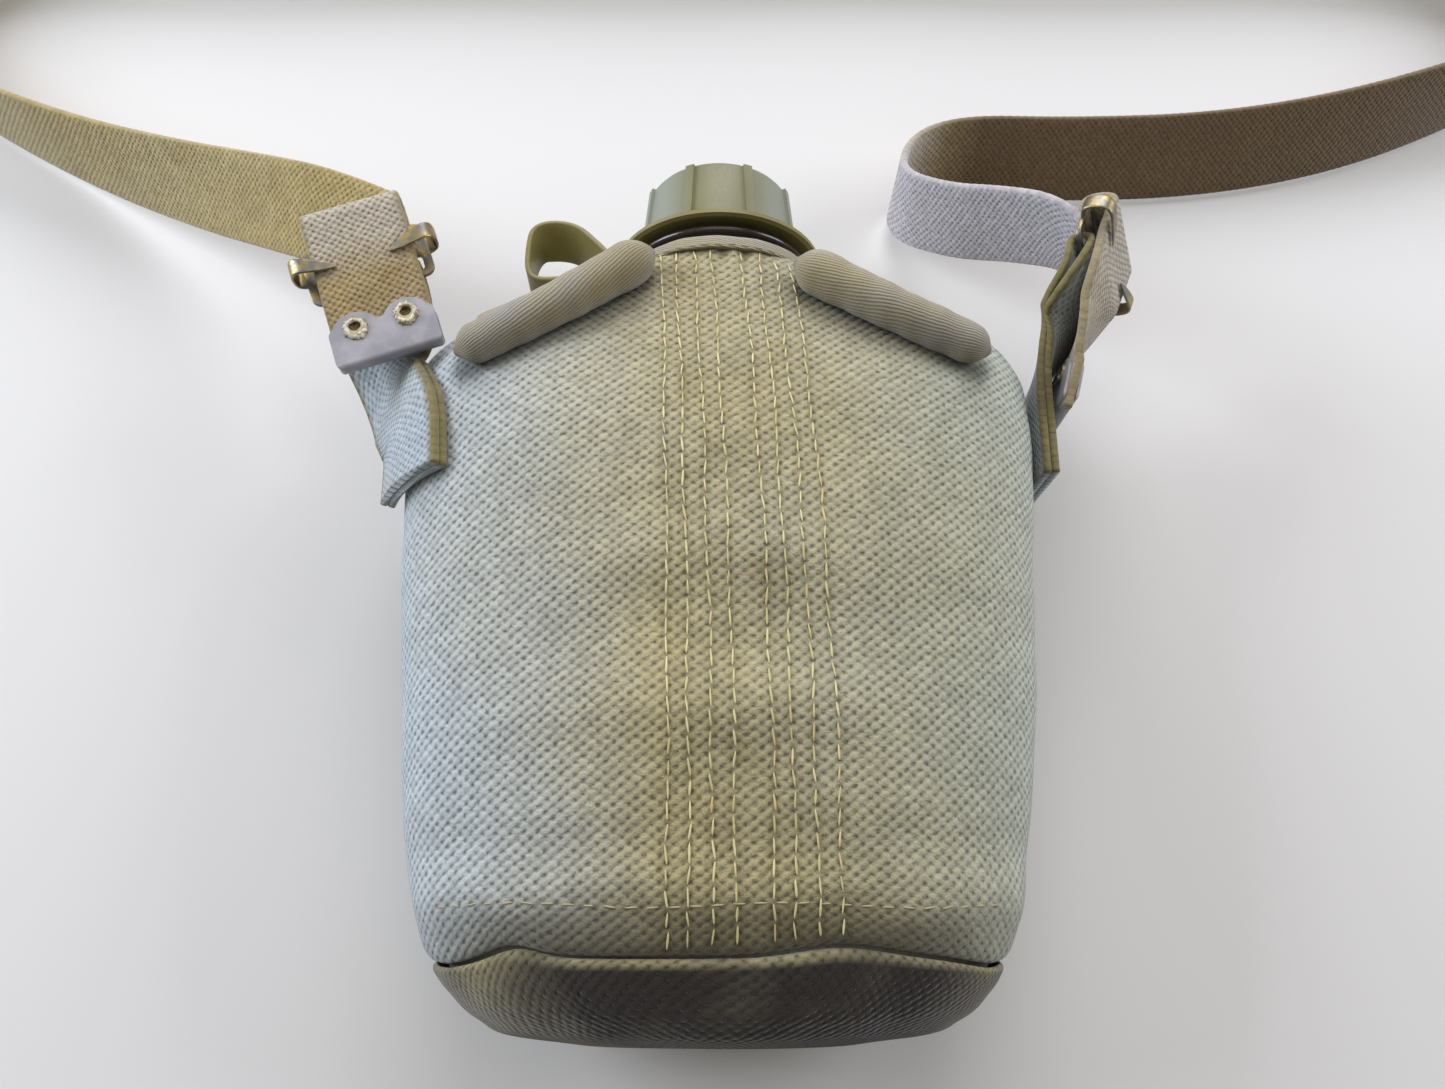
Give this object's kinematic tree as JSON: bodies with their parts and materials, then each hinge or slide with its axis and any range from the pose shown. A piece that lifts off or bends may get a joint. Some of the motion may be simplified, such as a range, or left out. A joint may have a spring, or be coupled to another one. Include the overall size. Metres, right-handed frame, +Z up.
{
  "type": "canteen",
  "caption": "Flat oval one-litre canteen in a stitched canvas cover, with a ribbed screw cap on a keeper strap and a webbing shoulder sling with slide buckles.",
  "frame": {"origin": "centre of the cover's flat back, on the surface it lies on", "axes": "+Y from the foot to the cap, +Z up out of the cover's front, +X to the right seen from the front"},
  "size_m": [0.5744, 0.3622, 0.0801],
  "materials": {
    "canvas": "coarse woven cotton duck, faded olive khaki",
    "felt": "pressed wool felt",
    "twill_tape": "fine cotton twill tape",
    "webbing": "coarse woven cotton webbing",
    "bottle_plastic": "moulded polyethylene, dark olive",
    "cap_plastic": "moulded polyethylene, olive",
    "keeper_plastic": "soft moulded plastic, dark olive",
    "gasket": "soft rubber",
    "buckle_steel": "stamped steel with worn plating",
    "tip_steel": "folded steel with a grey oxide finish",
    "eyelet_brass": "rolled tube rivet with oxide bloom"
  },
  "bodies": {
    "root": {"cover_front": "canvas", "cover_back": "canvas", "cover_bottom": "canvas", "felt_lining": "felt", "collar_binding": "twill_tape", "bottle_shell": "bottle_plastic", "keeper_neck_ring": "keeper_plastic", "left_chape": "webbing", "right_chape": "webbing", "left_buckle": "buckle_steel", "right_buckle": "buckle_steel", "left_sling_turn": "webbing", "right_sling_turn": "webbing", "sling_left": "webbing", "sling_loop": "webbing", "sling_right": "webbing"},
    "cap": {"cap_shell": "cap_plastic", "cap_gasket": "gasket"},
    "keeper": {"keeper_cap_ring": "keeper_plastic", "keeper_band": "keeper_plastic"},
    "left_flap_body": {"left_flap": "canvas", "left_flap_binding": "twill_tape"},
    "right_flap_body": {"right_flap": "canvas", "right_flap_binding": "twill_tape"},
    "left_tail_body": {"left_tail": "webbing", "left_tip": "tip_steel", "left_tip_eyelets": "eyelet_brass"},
    "right_tail_body": {"right_tail": "webbing", "right_tip": "tip_steel", "right_tip_eyelets": "eyelet_brass"}
  },
  "joints": [
    {"name": "cap_lift", "type": "slide", "parent": "root", "child": "keeper", "axis": [0, 1, 0], "range_m": [0, 0.00625], "deforming": ["keeper_band"]},
    {"name": "cap_turn", "type": "hinge", "parent": "keeper", "child": "cap", "pos_m": [0, 0.115, 0.038], "axis": [0, 1, 0], "range_deg": [0, 450]},
    {"name": "left_flap_lift", "type": "hinge", "parent": "root", "child": "left_flap_body", "pos_m": [-0.057, 0.08275, 0.04], "axis": [-0.907, -0.4211, 0], "range_deg": [0, 45]},
    {"name": "right_flap_lift", "type": "hinge", "parent": "root", "child": "right_flap_body", "pos_m": [0.057, 0.08275, 0.04], "axis": [-0.907, 0.4211, 0], "range_deg": [0, 45]},
    {"name": "left_tail_lift", "type": "hinge", "parent": "root", "child": "left_tail_body", "pos_m": [-0.09335, 0.09068, 0.0621], "axis": [-0.9454, -0.3258, -0.0039], "range_deg": [0, 60]},
    {"name": "right_tail_lift", "type": "hinge", "parent": "root", "child": "right_tail_body", "pos_m": [0.10689, 0.09574, 0.05304], "axis": [-0.4003, 0.3301, 0.8549], "range_deg": [0, 60]}
  ],
  "couplings": [
    {"joint": "cap_lift", "follows": "cap_turn", "m_per_rad": 0.00079577}
  ]
}
